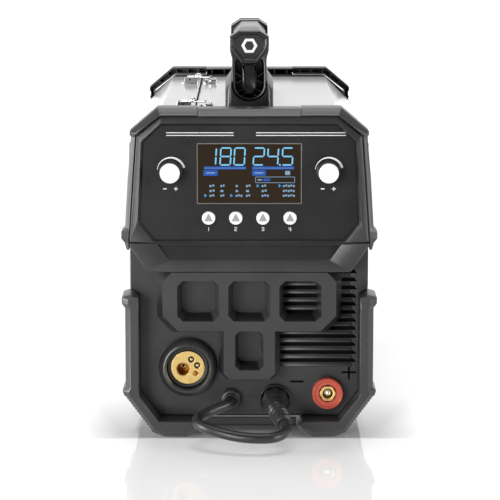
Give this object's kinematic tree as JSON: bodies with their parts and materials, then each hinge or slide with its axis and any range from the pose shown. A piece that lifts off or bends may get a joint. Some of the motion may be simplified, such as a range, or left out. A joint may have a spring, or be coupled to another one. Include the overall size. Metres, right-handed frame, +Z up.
{
  "type": "mig welding machine",
  "caption": "Portable wire-feed welding machine with corner guards, carry handle, hinged side door, display panel, output sockets, polarity lead and working wire feeder.",
  "frame": {"origin": "centre of the floor footprint, on the floor", "axes": "+X to the viewer's right facing the panel, +Y from the front to the rear, +Z up"},
  "size_m": [0.23, 0.5267, 0.364],
  "materials": {
    "cover_paint": "glossy light grey powder coat",
    "grey_steel": "grey primer",
    "housing_plastic": "fine grained charcoal moulding",
    "guard_plastic": "satin charcoal moulding",
    "panel_black": "near black satin panel film",
    "display": "dark lit display window",
    "circuit_board": "green solder mask",
    "black_plastic": "black moulding",
    "handle_plastic": "satin black moulding",
    "grip_rubber": "soft grip",
    "cable_rubber": "satin black rubber",
    "white_plastic": "white moulding",
    "knob_metal": "satin silver",
    "brass": "turned brass",
    "red_plastic": "red moulding",
    "zinc": "bright plated steel",
    "screw_steel": "black oxide",
    "wire_copper": "copper coated wire",
    "feeder_metal": "cast aluminium",
    "roll_steel": "turned steel",
    "knob_amber": "amber moulding",
    "magnetic_core": "varnished windings"
  },
  "bodies": {
    "chassis": {"base_tray": "grey_steel", "divider_wall": "grey_steel", "main_cover": "cover_paint", "rear_panel": "housing_plastic", "front_bezel": "housing_plastic", "front_housing": "housing_plastic", "front_grille": "housing_plastic", "control_panel": "panel_black", "display_lens": "display", "control_board": "circuit_board", "guard_front_upper_left": "guard_plastic", "guard_front_upper_right": "guard_plastic", "guard_front_lower_left": "guard_plastic", "guard_front_lower_right": "guard_plastic", "guards_rear": "guard_plastic", "top_bars": "guard_plastic", "frame_screws": "screw_steel", "euro_collar": "housing_plastic", "euro_insulator": "black_plastic", "euro_body": "brass", "red_socket": "red_plastic", "red_socket_insert": "brass", "black_socket": "black_plastic", "cable_gland": "housing_plastic", "polarity_lead": "cable_rubber", "lead_plug": "cable_rubber", "handle_base": "handle_plastic", "handle_front_leg": "handle_plastic", "handle_rear_leg": "handle_plastic", "handle_grip": "grip_rubber", "door_hinges": "zinc", "latch_keepers": "zinc", "spool_hub": "black_plastic", "feed_plate": "feeder_metal", "feed_motor": "roll_steel", "inverter_board": "circuit_board", "heat_sinks": "feeder_metal", "magnetics": "magnetic_core", "fan_frame": "black_plastic", "power_switch": "black_plastic", "mains_gland": "black_plastic", "gas_inlet": "brass"},
    "door": {"side_door": "cover_paint", "latch_bases": "zinc"},
    "latch_lever_front": {"latch_lever_front": "zinc"},
    "latch_lever_rear": {"latch_lever_rear": "zinc"},
    "knob_left": {"knob_left": "knob_metal"},
    "knob_right": {"knob_right": "knob_metal"},
    "button_1": {"button_1": "white_plastic"},
    "button_2": {"button_2": "white_plastic"},
    "button_3": {"button_3": "white_plastic"},
    "button_4": {"button_4": "white_plastic"},
    "power_rocker": {"power_rocker": "red_plastic"},
    "fan_rotor": {"fan_rotor": "black_plastic"},
    "wire_spool": {"wire_spool": "black_plastic", "spool_wire": "wire_copper"},
    "drive_roll": {"drive_roll": "roll_steel"},
    "pressure_arm": {"pressure_arm": "feeder_metal"},
    "pressure_roll": {"pressure_roll": "roll_steel"},
    "tension_knob": {"tension_knob": "knob_amber"}
  },
  "joints": [
    {"name": "door_hinge", "type": "hinge", "parent": "chassis", "child": "door", "pos_m": [-0.1104, 0, 0.044], "axis": [0, -1, 0], "range_deg": [0, 95]},
    {"name": "latch_front", "type": "hinge", "parent": "door", "child": "latch_lever_front", "pos_m": [-0.061, -0.146, 0.2962], "axis": [0, -1, 0], "range_deg": [0, 150]},
    {"name": "latch_rear", "type": "hinge", "parent": "door", "child": "latch_lever_rear", "pos_m": [-0.061, 0.104, 0.2962], "axis": [0, -1, 0], "range_deg": [0, 150]},
    {"name": "knob_left_turn", "type": "hinge", "parent": "chassis", "child": "knob_left", "pos_m": [-0.0705, -0.225, 0.243], "axis": [0, -1, 0], "continuous": true},
    {"name": "knob_right_turn", "type": "hinge", "parent": "chassis", "child": "knob_right", "pos_m": [0.0705, -0.225, 0.243], "axis": [0, -1, 0], "continuous": true},
    {"name": "button_1_press", "type": "slide", "parent": "chassis", "child": "button_1", "axis": [0, 1, 0], "range_m": [0, 0.0015], "stiffness_N_per_m": 400},
    {"name": "button_2_press", "type": "slide", "parent": "chassis", "child": "button_2", "axis": [0, 1, 0], "range_m": [0, 0.0015], "stiffness_N_per_m": 400},
    {"name": "button_3_press", "type": "slide", "parent": "chassis", "child": "button_3", "axis": [0, 1, 0], "range_m": [0, 0.0015], "stiffness_N_per_m": 400},
    {"name": "button_4_press", "type": "slide", "parent": "chassis", "child": "button_4", "axis": [0, 1, 0], "range_m": [0, 0.0015], "stiffness_N_per_m": 400},
    {"name": "rocker_tilt", "type": "hinge", "parent": "chassis", "child": "power_rocker", "pos_m": [0.051, 0.198, 0.245], "axis": [1, 0, 0], "range_deg": [-20, 0]},
    {"name": "fan_spin", "type": "hinge", "parent": "chassis", "child": "fan_rotor", "pos_m": [0.049, 0.185, 0.15], "axis": [0, 1, 0], "continuous": true},
    {"name": "spool_spin", "type": "hinge", "parent": "chassis", "child": "wire_spool", "pos_m": [-0.0605, 0.07, 0.15], "axis": [1, 0, 0], "continuous": true},
    {"name": "drive_spin", "type": "hinge", "parent": "chassis", "child": "drive_roll", "pos_m": [-0.0605, -0.118, 0.044], "axis": [1, 0, 0], "continuous": true},
    {"name": "arm_lift", "type": "hinge", "parent": "chassis", "child": "pressure_arm", "pos_m": [-0.0605, -0.15, 0.083], "axis": [1, 0, 0], "range_deg": [0, 60]},
    {"name": "pressure_spin", "type": "hinge", "parent": "pressure_arm", "child": "pressure_roll", "pos_m": [-0.0605, -0.118, 0.071], "axis": [1, 0, 0], "continuous": true},
    {"name": "tension_turn", "type": "hinge", "parent": "pressure_arm", "child": "tension_knob", "pos_m": [-0.0605, -0.091, 0.083], "axis": [0, 0, 1], "range_deg": [0, 720]}
  ],
  "couplings": [
    {"joint": "pressure_spin", "follows": "drive_spin", "ratio": -1.3636}
  ]
}
